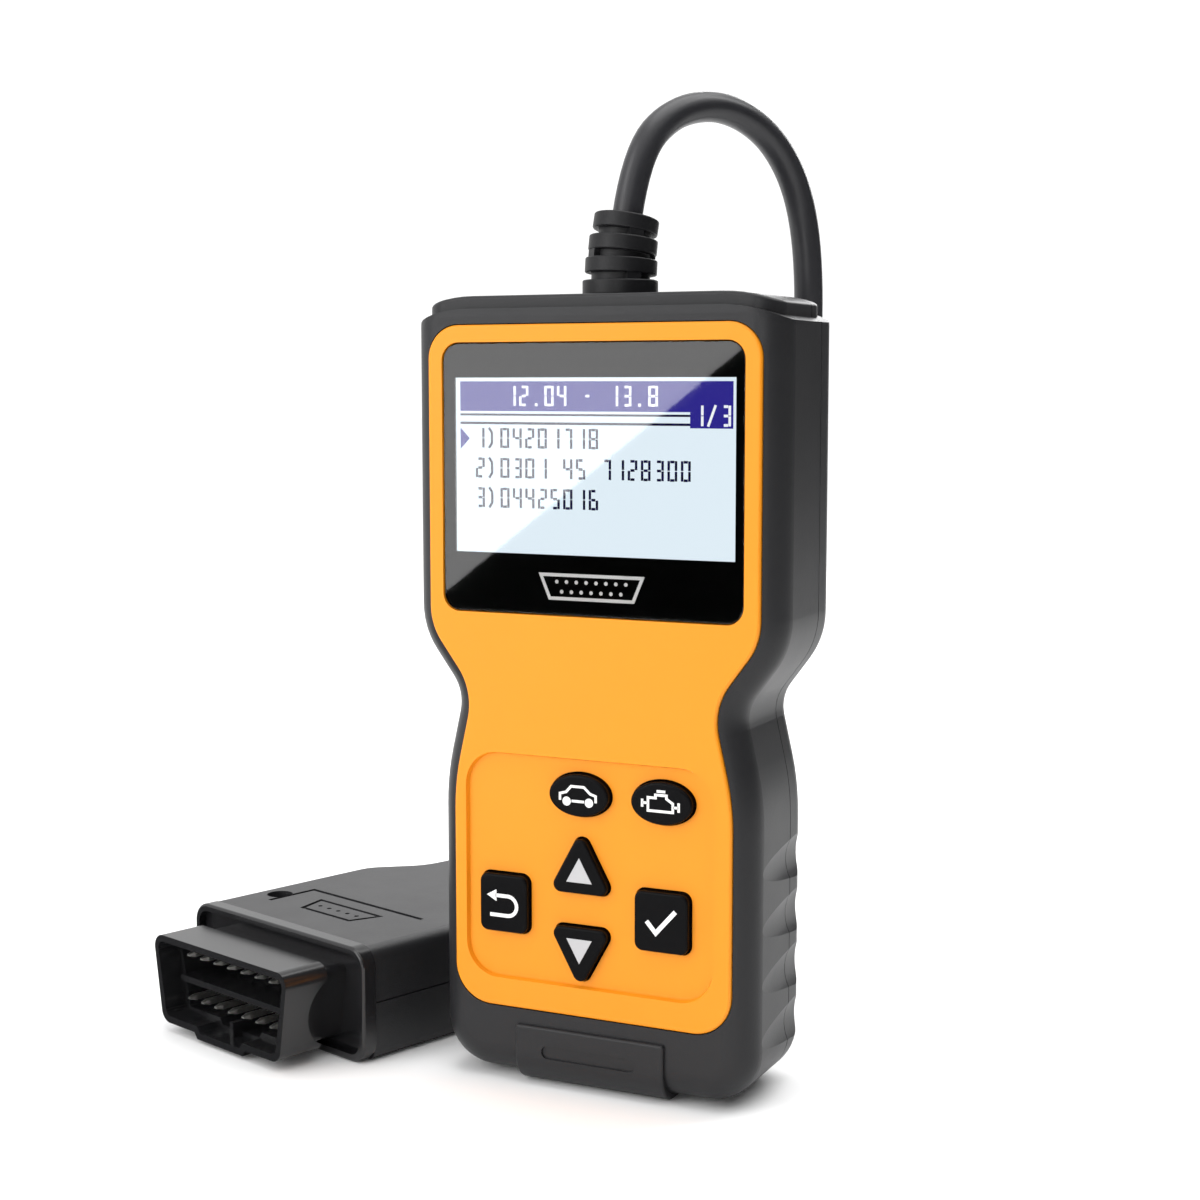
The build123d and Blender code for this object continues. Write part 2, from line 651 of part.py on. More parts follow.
def plug_section(a):
    """Sketch plane across the plug, a behind its mouth, facing the mouth; x is across, y is up."""
    return Plane(origin=plug_point(0, a, 0), x_dir=across, z_dir=-rearward)


def plug_level(z):
    """Level sketch plane at height z; x is across the plug, y runs back from its mouth."""
    return Plane(origin=plug_point(0, 0, z), x_dir=across, z_dir=(0, 0, 1))


SHROUD_MID = (SHROUD_LOW + SHROUD_HIGH) / 2
KEYWAY_HALF = 6.6
KEYWAY_STEP = 1.1


def shroud_section(inset, radius):
    """D-shaped section of the shroud, with the keyway step in its bottom wall."""
    top = SHROUD_TOP_WIDTH / 2 - inset
    bottom = SHROUD_LOW_WIDTH / 2 - inset
    step = KEYWAY_HALF - inset * 0.7
    with BuildSketch() as section:
        with BuildLine():
            FilletPolyline((top, SHROUD_HIGH - inset), (bottom, SHROUD_LOW + inset),
                           (-bottom, SHROUD_LOW + inset), (-top, SHROUD_HIGH - inset),
                           radius=radius, close=True)
        make_face()
        Polygon((-step - 0.9, SHROUD_LOW + inset + 0.1), (-step, SHROUD_LOW + inset - KEYWAY_STEP),
                (step, SHROUD_LOW + inset - KEYWAY_STEP), (step + 0.9, SHROUD_LOW + inset + 0.1),
                align=None)
    return section.sketch


def shroud_sign():
    """Small outline of the connector's D shape, with a row of dots, for the top of the hood."""
    with BuildSketch() as sign:
        Polygon((-9, 30), (9, 30), (7, 23.5), (-7, 23.5), align=None)
        Polygon((-7.9, 29.2), (7.9, 29.2), (6.3, 24.3), (-6.3, 24.3), align=None, mode=Mode.SUBTRACT)
        with Locations((0, 26.8)):
            with GridLocations(2.6, 1, 5, 1):
                Circle(0.45)
    return sign.sketch


def hood_outline(inset, front, back):
    """Plan of the plug's hood: wide at the flange, stepping in to a narrower grip at the back."""
    half = HOOD_HALF - inset
    neck = HOOD_NECK_HALF - inset
    side = [(half, front), (half, HOOD_SHOULDER), (neck, HOOD_NECK), (neck - 1.5, back)]
    corners = side + [(-b, a) for b, a in reversed(side)]
    turns = [0, 9, 9, 6.5]
    with BuildSketch() as outline:
        with BuildLine():
            FilletPolyline(*corners, radius=turns + turns[::-1], close=True)
        make_face()
    return outline.sketch


# Outer sleeve of the shroud, with a round scoop out of the back edge of each end
SCOOP_OUT_BACK = 12.0
SCOOP_OUT_Z = 8.9
SCOOP_OUT_RADIUS = 6.6
with BuildPart() as sleeve:
    with BuildSketch(plug_section(SLEEVE_BACK)):
        add(shroud_section(0, 2.4))
    extrude(amount=SLEEVE_BACK)
    with BuildSketch(Plane(origin=plug_point(0, SCOOP_OUT_BACK, SCOOP_OUT_Z), x_dir=rearward,
                           z_dir=across)):
        Circle(SCOOP_OUT_RADIUS)
    extrude(amount=SHROUD_TOP_WIDTH, both=True, mode=Mode.SUBTRACT)

with BuildPart() as plug_shroud:
    # core of the shroud, a little smaller than the sleeve round its front
    with BuildSketch(plug_section(FLANGE_BACK - 0.5)):
        add(shroud_section(SLEEVE_STEP, 1.5))
    extrude(amount=FLANGE_BACK - 1.5)
    add(sleeve.part)
    # flange with a raised rim round a recessed face
    with BuildSketch(plug_section(FLANGE_BACK)):
        with Locations((0, FLANGE_HEIGHT / 2)):
            RectangleRounded(FLANGE_WIDTH, FLANGE_HEIGHT, 3.6)
    extrude(amount=FLANGE_BACK - FLANGE_FRONT)
    with BuildSketch(plug_section(FLANGE_FRONT + 1.5)):
        with Locations((0, FLANGE_HEIGHT / 2)):
            RectangleRounded(FLANGE_WIDTH - 2.6, FLANGE_HEIGHT - 2.6, 2.4)
        add(shroud_section(SLEEVE_STEP, 1.5), mode=Mode.SUBTRACT)
    extrude(amount=3, mode=Mode.SUBTRACT)
    # rounded edges that catch the light
    rim_faces = plug_shroud.faces().filter_by(lambda face: face.normal_at().dot(-rearward) > 0.99)
    fillet(rim_faces.sort_by(Axis(plug_point(0, 0, 0), rearward))[1].outer_wire().edges(), 0.5)
    # socket cavity that takes the vehicle's connector, narrower where the core is
    with BuildSketch(plug_section(SOCKET_STEP)):
        add(shroud_section(SHROUD_WALL, 1.4))
    extrude(amount=SOCKET_STEP + 1, mode=Mode.SUBTRACT)
    with BuildSketch(plug_section(SHROUD_DEPTH)):
        add(shroud_section(SLEEVE_STEP + 0.7, 1.0))
    extrude(amount=SHROUD_DEPTH + 1, mode=Mode.SUBTRACT)
    # blade between the pin rows and the key rib on the floor
    with BuildSketch(plug_section(SHROUD_DEPTH + 0.4)):
        with Locations((0, SHROUD_MID)):
            RectangleRounded(30.0, 1.1, 0.5)
        with Locations((0, SHROUD_LOW + SHROUD_WALL - KEYWAY_STEP + 1.3)):
            Rectangle(1.0, 2.8)
    extrude(amount=SHROUD_DEPTH - 2.2)
    # carrier block that the hood clamps
    with BuildSketch(plug_section(FLANGE_BACK + 6)):
        with Locations((0, FLANGE_HEIGHT / 2)):
            RectangleRounded(40.0, 14.0, 1.0)
    extrude(amount=7)
    # pin slots
    with BuildSketch(plug_section(FLANGE_BACK + 7)):
        with Locations((0, SHROUD_MID)):
            with GridLocations(PIN_PITCH, 2 * PIN_ROW_OFFSET, 8, 2):
                Rectangle(1.3, 0.9)
    extrude(amount=FLANGE_BACK + 7 - SHROUD_DEPTH + 0.5, mode=Mode.SUBTRACT)
plug_shroud.part.label = "plug_shroud"
export_step(plug_shroud.part, "parts/plug_shroud.step")

PIN_BACK = FLANGE_BACK + 9.0
with BuildPart() as plug_pins:
    with BuildSketch(plug_section(PIN_BACK)):
        with Locations((0, SHROUD_MID)):
            with GridLocations(PIN_PITCH, 2 * PIN_ROW_OFFSET, 8, 2):
                Rectangle(1.3, 0.9)
    extrude(amount=PIN_BACK - PIN_TIP - 1.2)
    with BuildSketch(plug_section(PIN_TIP + 1.2)):
        with Locations((0, SHROUD_MID)):
            with GridLocations(PIN_PITCH, 2 * PIN_ROW_OFFSET, 8, 2):
                Rectangle(1.3, 0.9)
    extrude(amount=1.2, taper=14)
plug_pins.part.label = "plug_pins"
export_step(plug_pins.part, "parts/plug_pins.step")

# Solid hood, rounded, before it is hollowed and parted at its seam
HOOD_BOTTOM = 0.2
with BuildPart() as hood:
    with BuildSketch(plug_level(HOOD_BOTTOM)):
        add(hood_outline(0, HOOD_FRONT, HOOD_BACK))
    extrude(amount=HOOD_HIGH - HOOD_BOTTOM)
    # rounded edges, except where the hood meets the flange
    from_mouth = Axis(plug_point(0, 0, 0), rearward)
    fillet(hood.faces().sort_by(Axis.Z)[-1].edges().sort_by(from_mouth)[1:], 2.4)
    fillet(hood.faces().sort_by(Axis.Z)[0].edges().sort_by(from_mouth)[1:], 1.6)
    # fine groove along the parting line
    with BuildSketch(plug_level(HOOD_SEAM - 0.15)):
        add(hood_outline(-1, HOOD_FRONT - 1, HOOD_BACK + 1))
        add(hood_outline(0.25, HOOD_FRONT - 2, HOOD_BACK - 0.25), mode=Mode.SUBTRACT)
    extrude(amount=0.3, mode=Mode.SUBTRACT)
    # room for the carrier block, the pins and the wires
    with BuildSketch(plug_level(HOOD_WALL)):
        add(hood_outline(HOOD_WALL, HOOD_FRONT - 1, HOOD_BACK - HOOD_WALL))
    extrude(amount=HOOD_HIGH - 2 * HOOD_WALL, mode=Mode.SUBTRACT)
    # posts for the two screws
    with BuildSketch(plug_level(HOOD_WALL)):
        with Locations(*PLUG_SCREWS):
            Circle(3.2)
    extrude(amount=HOOD_HIGH - 2 * HOOD_WALL)
    with BuildSketch(plug_level(5.0)):
        with Locations(*PLUG_SCREWS):
            Circle(SCREW_RADIUS)
    extrude(amount=HOOD_HIGH, mode=Mode.SUBTRACT)
    with BuildSketch(plug_level(HOOD_HIGH - 4.0)):
        with Locations(*PLUG_SCREWS):
            Circle(SCREW_HEAD_RADIUS + 0.2)
    extrude(amount=6, mode=Mode.SUBTRACT)
    # hole for the lead's strain relief
    with BuildSketch(plug_section(HOOD_BACK + 2)):
        with Locations((0, CORD_HEIGHT_AT_PLUG)):
            Circle(4.2)
    extrude(amount=6, mode=Mode.SUBTRACT)

# finger slots across the grip
SLOT_PLACES = [66.5, 71.0, 75.5]
with BuildPart() as plug_top_shell:
    add(split(hood.part, bisect_by=plug_level(HOOD_SEAM), keep=Keep.TOP, mode=Mode.PRIVATE))
    with BuildSketch(plug_level(HOOD_HIGH - 0.8)):
        with Locations(*[(0, a) for a in SLOT_PLACES]):
            SlotOverall(23.0, 2.0)
    extrude(amount=2, mode=Mode.SUBTRACT)
    # shallow engraved angle and connector sign on the top
    with BuildSketch(plug_level(HOOD_HIGH - 0.35)):
        with BuildLine():
            Polyline((-15.5, 23.0), (-15.5, 33.5), (15.5, 33.5))
        trace(line_width=0.95)
        add(shroud_sign())
    extrude(amount=2, mode=Mode.SUBTRACT)
plug_top_shell.part.label = "plug_top_shell"
export_step(plug_top_shell.part, "parts/plug_top_shell.step")

with BuildPart() as plug_bottom_shell:
    add(split(hood.part, bisect_by=plug_level(HOOD_SEAM), keep=Keep.BOTTOM, mode=Mode.PRIVATE))
plug_bottom_shell.part.label = "plug_bottom_shell"
export_step(plug_bottom_shell.part, "parts/plug_bottom_shell.step")

with BuildPart() as plug_screws:
    with BuildSketch(plug_level(5.0)):
        with Locations(*PLUG_SCREWS):
            Circle(SCREW_RADIUS)
    extrude(amount=HOOD_HIGH - 4.0 - 5.0)
    with BuildSketch(plug_level(HOOD_HIGH - 4.0)):
        with Locations(*PLUG_SCREWS):
            Circle(SCREW_HEAD_RADIUS)
    extrude(amount=1.6)
    with BuildSketch(plug_level(HOOD_HIGH - 3.1)):
        with Locations(*PLUG_SCREWS):
            Rectangle(2.6, 0.6)
            Rectangle(0.6, 2.6)
    extrude(amount=2, mode=Mode.SUBTRACT)
plug_screws.part.label = "plug_screws"
export_step(plug_screws.part, "parts/plug_screws.step")

# Tapered, ringed strain relief at the back of the plug
with BuildPart() as plug_strain_relief:
    with BuildSketch(plug_section(HOOD_BACK - HOOD_WALL)):
        with Locations((0, CORD_HEIGHT_AT_PLUG)):
            Circle(5.4)
    extrude(amount=1.6)
    with BuildSketch(plug_section(HOOD_BACK + 0.4)):
        with Locations((0, CORD_HEIGHT_AT_PLUG)):
            Circle(4.2)
    extrude(amount=HOOD_WALL + 1.0)
    with BuildSketch(plug_section(HOOD_BACK)):
        with Locations((0, CORD_HEIGHT_AT_PLUG)):
            Circle(5.6)
    with BuildSketch(plug_section(PLUG_RELIEF_BACK)):
        with Locations((0, CORD_HEIGHT_AT_PLUG)):
            Circle(3.6)
    loft()
    for gap in range(4):
        with BuildSketch(plug_section(HOOD_BACK + 4.0 + 3.2 * gap)):
            with Locations((0, CORD_HEIGHT_AT_PLUG)):
                Circle(7)
                Circle(3.2, mode=Mode.SUBTRACT)
        extrude(amount=1.0, mode=Mode.SUBTRACT)
plug_strain_relief.part.label = "plug_strain_relief"
export_step(plug_strain_relief.part, "parts/plug_strain_relief.step")


# ---------------------------------------------------------------- lead

def radii_along(route):
    """Arc radius at each corner of a route: as large as the two runs beside it allow."""
    points = [Vector(*point) for point in route]
    radii = []
    for before, corner, after in zip(points, points[1:], points[2:]):
        half_turn = math.radians((corner - before).get_angle(after - corner)) / 2
        run = min((corner - before).length, (after - corner).length)
        radii.append(0.45 * run / math.tan(half_turn))
    return radii


def lead_tube(route):
    """Plain round tube along a route of straight runs joined by tangent arcs."""
    radii = radii_along(route)
    with BuildPart() as tube:
        with BuildLine() as path:
            FilletPolyline(*route, radius=radii)
        with BuildSketch(Plane(origin=path.line @ 0, z_dir=path.line % 0)):
            Circle(CORD_RADIUS)
        sweep()
    length = path.wires()[0].length
    volume = math.pi * CORD_RADIUS ** 2 * length
    print("radii", [round(radius, 1) for radius in radii])
    print("length", round(length, 1), "volume ratio", round(tube.part.volume / volume, 4))
    return tube


# Up out of the reader, over and down behind it, then along the floor to the coil
relief_tip = relief_plane(3 * (RING_HEIGHT + RING_GAP))
exit_point = relief_tip.origin + relief_tip.z_dir * RING_HEIGHT
exit_run = exit_point + relief_tip.z_dir * 10.5
UPPER_ROUTE = [
    tuple(exit_point), tuple(exit_run), (5.0, 9.7, 160.4), (10.2, 19.8, 162.3),
    (15.2, 29.5, 157.6), (18.4, 35.7, 147.0), (19.3, 37.5, 129.0), (16.9, 39.5, 106.0),
    (12.0, 42.0, 82.0), (6.0, 45.5, 58.0), (0.5, 51.0, 36.0), (-3.0, 58.0, 19.5),
    (-6.0, 66.5, 9.0), (-7.6, 76.0, 3.6), (-8.0, 85.8, 2.5), (-12.3, 93.2, 2.5),
    (-19.7, 97.5, 2.5), (COIL_X + COIL_STUB, COIL_Y - COIL_RADIUS, 2.5),
]
cord = lead_tube(UPPER_ROUTE)
cord.part.label = "cord"
export_step(cord.part, "parts/cord.step")

# From the coil's upper turn to the back of the plug
coil_exit = math.radians(COIL_EXIT_ANGLE)
leaving = Vector(math.sin(coil_exit), -math.cos(coil_exit), 0)
leaves_at = Vector(COIL_X + COIL_RADIUS * math.cos(coil_exit), COIL_Y + COIL_RADIUS * math.sin(coil_exit), 7.7)
tail_start = leaves_at + leaving * COIL_STUB
PLUG_ROUTE = [
    tuple(tail_start), tuple(tail_start + leaving * 7.5),
    tuple(plug_point(0, PLUG_RELIEF_BACK + 7.5, CORD_HEIGHT_AT_PLUG)),
    tuple(plug_point(0, PLUG_RELIEF_BACK, CORD_HEIGHT_AT_PLUG)),
]
cord_tail = lead_tube(PLUG_ROUTE)
cord_tail.part.label = "cord_tail"
export_step(cord_tail.part, "parts/cord_tail.step")

# Outer shape of the coil: two stacked turns, with a short straight piece at each end of the wire
with BuildPart() as cord_coil:
    with BuildSketch(Plane.XY):
        with Locations((COIL_X, COIL_Y)):
            Circle(COIL_RADIUS + CORD_RADIUS + 0.2)
            Circle(COIL_RADIUS - CORD_RADIUS - 0.2, mode=Mode.SUBTRACT)
    extrude(amount=4 * CORD_RADIUS + 0.2)
    chamfer(cord_coil.edges(), 1.2)
    with BuildSketch(Plane(origin=(COIL_X, COIL_Y - COIL_RADIUS, 2.5), x_dir=(0, 1, 0), z_dir=(1, 0, 0))):
        Rectangle(2 * CORD_RADIUS, 2 * CORD_RADIUS)
    extrude(amount=COIL_STUB)
    with BuildSketch(Plane(origin=leaves_at, x_dir=(leaving.Y, -leaving.X, 0), z_dir=leaving)):
        Rectangle(2 * CORD_RADIUS, 2 * CORD_RADIUS)
    extrude(amount=COIL_STUB)
cord_coil.part.label = "cord_coil"
export_step(cord_coil.part, "parts/cord_coil.step")
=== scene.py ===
import json
import math

import bmesh
import bpy
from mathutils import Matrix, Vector


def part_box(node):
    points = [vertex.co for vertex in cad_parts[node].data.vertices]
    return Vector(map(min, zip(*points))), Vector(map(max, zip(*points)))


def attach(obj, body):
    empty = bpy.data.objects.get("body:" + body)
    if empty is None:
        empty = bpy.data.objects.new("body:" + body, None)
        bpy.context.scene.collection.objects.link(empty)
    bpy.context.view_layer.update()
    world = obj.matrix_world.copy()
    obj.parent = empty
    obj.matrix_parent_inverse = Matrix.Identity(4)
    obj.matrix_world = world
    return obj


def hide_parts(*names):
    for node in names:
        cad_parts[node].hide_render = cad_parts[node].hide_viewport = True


# OBD code reader: looks. The reader stands at the origin and faces -Y, and its plug lies to its
# left. Everything is in metres in the CAD model's frame, apart from the flat pieces, whose outlines
# and depths are in millimetres in the same frame.

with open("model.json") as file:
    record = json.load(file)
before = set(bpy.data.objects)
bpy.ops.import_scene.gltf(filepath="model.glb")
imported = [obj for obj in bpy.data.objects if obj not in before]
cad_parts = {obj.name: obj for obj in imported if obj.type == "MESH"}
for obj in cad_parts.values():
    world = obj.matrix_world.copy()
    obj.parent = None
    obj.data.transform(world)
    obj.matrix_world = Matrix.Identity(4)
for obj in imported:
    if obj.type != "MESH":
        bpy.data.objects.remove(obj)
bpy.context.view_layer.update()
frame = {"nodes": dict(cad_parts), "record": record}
MM = 0.001


# ---------------------------------------------------------------- camera

CAMERA_PLACE = (0.1384, -0.2974, 0.1154)
CAMERA_TURN = 25.53
CAMERA_DOWN = 6.10

camera_data = bpy.data.cameras.new("camera")
camera_data.lens = 60
camera_data.sensor_width = 36
camera_data.clip_start = 0.01
camera = bpy.data.objects.new("camera", camera_data)
camera.location = CAMERA_PLACE
camera.rotation_euler = (math.radians(90 - CAMERA_DOWN), 0, math.radians(CAMERA_TURN))
bpy.context.collection.objects.link(camera)
bpy.context.scene.camera = camera
bpy.context.scene.view_settings.view_transform = "Standard"


# ---------------------------------------------------------------- lead

LEAD_RADIUS = 0.0025
COIL_X = -0.050
COIL_Y = 0.125
COIL_RADIUS = 0.0277
COIL_WOBBLE = 0.00025
LOWER_TURN_Z = 0.0026
UPPER_TURN_Z = 0.0079
COIL_STEP = 15
# Degrees turned from the coil's front: where the lead climbs onto its own first turn, and its end
CLIMB_START = 285
CLIMB_END = 330
COIL_END = 644

# Out of the reader's top, over and down behind it, and along the floor to the coil
LEAD_ROUTE = [
    (0.00063, 0.00123, 0.1426), (0.00150, 0.0029, 0.1529), (0.0050, 0.0097, 0.1604),
    (0.0102, 0.0198, 0.1623), (0.0152, 0.0295, 0.1576), (0.0184, 0.0357, 0.1470),
    (0.0193, 0.0375, 0.1290), (0.0169, 0.0395, 0.1060), (0.0120, 0.0420, 0.0820),
    (0.0060, 0.0455, 0.0580), (0.0005, 0.0510, 0.0360), (-0.0030, 0.0580, 0.0195),
    (-0.0060, 0.0665, 0.0090), (-0.0076, 0.0760, 0.0036), (-0.0080, 0.0858, 0.0026),
    (-0.0123, 0.0932, 0.0026), (-0.0197, 0.0972, 0.0026), (-0.0320, 0.0974, 0.0026),
    (-0.0420, 0.0973, 0.0026),
]
# From the coil's upper turn to the back of the plug
TAIL_ROUTE = [
    (-0.0257, 0.1086, 0.0094), (-0.0284, 0.0980, 0.0103), (-0.0315, 0.0895, 0.0104),
    (-0.0342, 0.0815, 0.0103), (-0.0365, 0.0746, 0.0103),
]


def coil_points():
    """Nearly two turns, clockwise seen from above, the second lying on the first."""
    points = []
    for turned in range(COIL_STEP, COIL_END, COIL_STEP):
        share = min(1, max(0, (turned - CLIMB_START) / (CLIMB_END - CLIMB_START)))
        z = LOWER_TURN_Z + (UPPER_TURN_Z - LOWER_TURN_Z) * share
        radius = COIL_RADIUS + COIL_WOBBLE * math.sin(math.radians(2.3 * turned))
        angle = math.radians(-90 - turned)
        points.append((COIL_X + radius * math.cos(angle), COIL_Y + radius * math.sin(angle), z))
    return points


def tube_curve(name, points, radius, resolution):
    """A smooth round tube that follows the points: each point's radius scales a bevel of 1."""
    curve = bpy.data.curves.new(name, "CURVE")
    curve.dimensions = "3D"
    spline = curve.splines.new("NURBS")
    spline.points.add(len(points) - 1)
    for place, point in zip(spline.points, points):
        place.co = (*point, 1)
        place.radius = radius
    spline.order_u = 3
    spline.use_endpoint_u = True
    curve.resolution_u = 8
    curve.bevel_depth = 1
    curve.bevel_resolution = resolution
    curve.use_fill_caps = True
    piece = bpy.data.objects.new(name, curve)
    bpy.context.collection.objects.link(piece)
    return piece


lead = tube_curve("lead", LEAD_ROUTE + coil_points() + TAIL_ROUTE, LEAD_RADIUS, 6)
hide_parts("cord", "cord_coil", "cord_tail")
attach(lead, "reader")


# ---------------------------------------------------------------- materials

MOTTLE_SCALE = 130
GRAIN_STRENGTH = 0.6


def surface(name, colour, roughness, grain=0.4, depth=0.02, mottle=0.05, spread=0.05, **sockets):
    """Moulded surface with fine grain, its size and depth in millimetres.

    The colour varies faintly by the share mottle, and the roughness by spread to either side.
    """
    material = bpy.data.materials.new(name)
    material.use_nodes = True
    nodes = material.node_tree.nodes
    links = material.node_tree.links
    shader = nodes["Principled BSDF"]
    place = nodes.new("ShaderNodeTexCoord")

    fine = nodes.new("ShaderNodeTexNoise")
    fine.inputs["Scale"].default_value = 1 / (grain * MM)
    fine.inputs["Detail"].default_value = 3
    bump = nodes.new("ShaderNodeBump")
    bump.inputs["Strength"].default_value = GRAIN_STRENGTH
    bump.inputs["Distance"].default_value = depth * MM
    links.new(place.outputs["Object"], fine.inputs["Vector"])
    links.new(fine.outputs["Fac"], bump.inputs["Height"])
    links.new(bump.outputs["Normal"], shader.inputs["Normal"])

    broad = nodes.new("ShaderNodeTexNoise")
    broad.inputs["Scale"].default_value = MOTTLE_SCALE
    broad.inputs["Detail"].default_value = 5
    links.new(place.outputs["Object"], broad.inputs["Vector"])
    tint = nodes.new("ShaderNodeMix")
    tint.data_type = "RGBA"
    tint.inputs["A"].default_value = [c * (1 - mottle) for c in colour] + [1]
    tint.inputs["B"].default_value = [min(1, c * (1 + mottle)) for c in colour] + [1]
    links.new(broad.outputs["Fac"], tint.inputs["Factor"])
    links.new(tint.outputs["Result"], shader.inputs["Base Color"])
    gloss = nodes.new("ShaderNodeMapRange")
    gloss.inputs["To Min"].default_value = max(0.02, roughness - spread)
    gloss.inputs["To Max"].default_value = roughness + spread
    links.new(broad.outputs["Fac"], gloss.inputs["Value"])
    links.new(gloss.outputs["Result"], shader.inputs["Roughness"])
    for socket, value in sockets.items():
        shader.inputs[socket.replace("_", " ")].default_value = value
    return material


def lit(name, colour, strength):
    """A lit part of the display: it glows evenly."""
    material = surface(name, (0.002, 0.002, 0.002), 0.6, mottle=0.0, Specular_IOR_Level=0.0)
    nodes = material.node_tree.nodes
    shader = nodes["Principled BSDF"]
    shader.inputs["Emission Color"].default_value = (*colour, 1)
    shader.inputs["Emission Strength"].default_value = strength
    return material


MATERIALS = {
    "housing_plastic": surface("housing_plastic", (0.016, 0.016, 0.0175), 0.40, grain=0.35, depth=0.03,
                               mottle=0.06, Specular_IOR_Level=0.28),
    "face_plastic": surface("face_plastic", (0.81, 0.274, 0.0082), 0.42, grain=0.5, depth=0.008,
                            mottle=0.02, Specular_IOR_Level=0.3),
    "lens_print": surface("lens_print", (0.024, 0.025, 0.024), 0.35, grain=0.2, depth=0.002,
                          Specular_IOR_Level=0.1),
    "backlight": surface("backlight", (0.8, 0.8, 0.78), 0.4),
    "circuit_board": surface("circuit_board", (0.02, 0.14, 0.06), 0.4, grain=1.5, depth=0.03,
                             mottle=0.3),
    "chip": surface("chip", (0.02, 0.02, 0.02), 0.5, grain=0.15, depth=0.02),
    "can_metal": surface("can_metal", (0.7, 0.7, 0.7), 0.3, grain=0.1, depth=0.005, Metallic=1.0),
    "capacitor_can": surface("capacitor_can", (0.75, 0.75, 0.77), 0.35, grain=0.1, depth=0.005,
                             Metallic=1.0),
    "header_plastic": surface("header_plastic", (0.8, 0.76, 0.62), 0.45),
    "screw_steel": surface("screw_steel", (0.22, 0.22, 0.23), 0.32, grain=0.1, depth=0.01,
                           mottle=0.1, Metallic=1.0),
    "mat_rubber": surface("mat_rubber", (0.25, 0.25, 0.26), 0.7, grain=0.2, depth=0.02),
    "key_plastic": surface("key_plastic", (0.003, 0.003, 0.0035), 0.26, grain=0.6, depth=0.006,
                           mottle=0.1, Specular_IOR_Level=0.06),
    "relief_rubber": surface("relief_rubber", (0.008, 0.008, 0.009), 0.44, grain=0.25, depth=0.02,
                             mottle=0.08, Specular_IOR_Level=0.25),
    "cord_jacket": surface("cord_jacket", (0.022, 0.022, 0.025), 0.34, grain=0.5, depth=0.012,
                           mottle=0.08, Specular_IOR_Level=0.4),
    "wire_jacket": surface("wire_jacket", (0.5, 0.1, 0.08), 0.45),
    "label_film": surface("label_film", (0.55, 0.55, 0.57), 0.38, grain=0.3, depth=0.004,
                          mottle=0.03),
    "plug_plastic": surface("plug_plastic", (0.011, 0.011, 0.012), 0.2, grain=0.8, depth=0.006,
                            mottle=0.1, spread=0.03),
    "hood_plastic": surface("hood_plastic", (0.016, 0.016, 0.0175), 0.40, grain=0.3, depth=0.05,
                            mottle=0.08, Specular_IOR_Level=0.4),
    "pin_metal": surface("pin_metal", (0.92, 0.91, 0.87), 0.34, grain=0.2, depth=0.003,
                         mottle=0.02, Metallic=1.0),
    "display": lit("display", (0.80, 0.92, 1.0), 1.0),
}
lens = surface("lens", (1.0, 1.0, 1.0), 0.02, grain=2.0, depth=0.0005, mottle=0.0, spread=0.0)
lens_shader = lens.node_tree.nodes["Principled BSDF"]
lens_shader.inputs["Transmission Weight"].default_value = 1.0
lens_shader.inputs["IOR"].default_value = 1.5
MATERIALS["lens"] = lens

BAND = lit("screen_band", (0.030, 0.022, 0.32), 0.85)
INK = surface("screen_ink", (0.006, 0.005, 0.045), 0.5, grain=0.2, depth=0.002,
              Specular_IOR_Level=0.0)
PALE = lit("screen_pale", (0.92, 0.95, 1.0), 1.0)
LEGEND_WHITE = surface("legend_white", (0.85, 0.85, 0.84), 0.4, grain=0.2, depth=0.004)
LEGEND_GREY = surface("legend_grey", (0.46, 0.46, 0.47), 0.4, grain=0.2, depth=0.004)
LABEL_INK = surface("label_ink", (0.05, 0.05, 0.055), 0.45, grain=0.2, depth=0.002)
TIE = surface("tie_fabric", (0.02, 0.02, 0.021), 0.85, grain=0.35, depth=0.12, mottle=0.2)

for entry in frame["record"]["subparts"]:
    for material_slot in frame["nodes"][entry["node"]].material_slots:
        material_slot.material = MATERIALS[entry["material_slot"]]
lead.data.materials.append(MATERIALS["cord_jacket"])


# ---------------------------------------------------------------- flat pieces: screen and legends

def flat_piece(name, outlines, front, back, material, body):
    """Closed plates from outlines of (x, z) points, between two depths along Y, in millimetres."""
    mesh = bmesh.new()
    for outline in outlines:
        sides = zip(outline, outline[1:] + outline[:1])
        area = sum(a[0] * b[1] - b[0] * a[1] for a, b in sides)
        corners = outline if area > 0 else outline[::-1]
        near = [mesh.verts.new((x * MM, front * MM, z * MM)) for x, z in corners]
        far = [mesh.verts.new((x * MM, back * MM, z * MM)) for x, z in corners]
        mesh.faces.new(near)
        mesh.faces.new(far[::-1])
        for i in range(len(corners)):
            j = (i + 1) % len(corners)
            mesh.faces.new((near[j], near[i], far[i], far[j]))
    bmesh.ops.recalc_face_normals(mesh, faces=mesh.faces)
    bmesh.ops.triangulate(mesh, faces=mesh.faces)
    data = bpy.data.meshes.new(name)
    mesh.to_mesh(data)
    mesh.free()
    data.materials.append(material)
    piece = bpy.data.objects.new(name, data)
    bpy.context.collection.objects.link(piece)
    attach(piece, body)


def bar(x_low, z_low, x_high, z_high):
    """Outline of an upright rectangle."""
    return [(x_low, z_low), (x_high, z_low), (x_high, z_high), (x_low, z_high)]


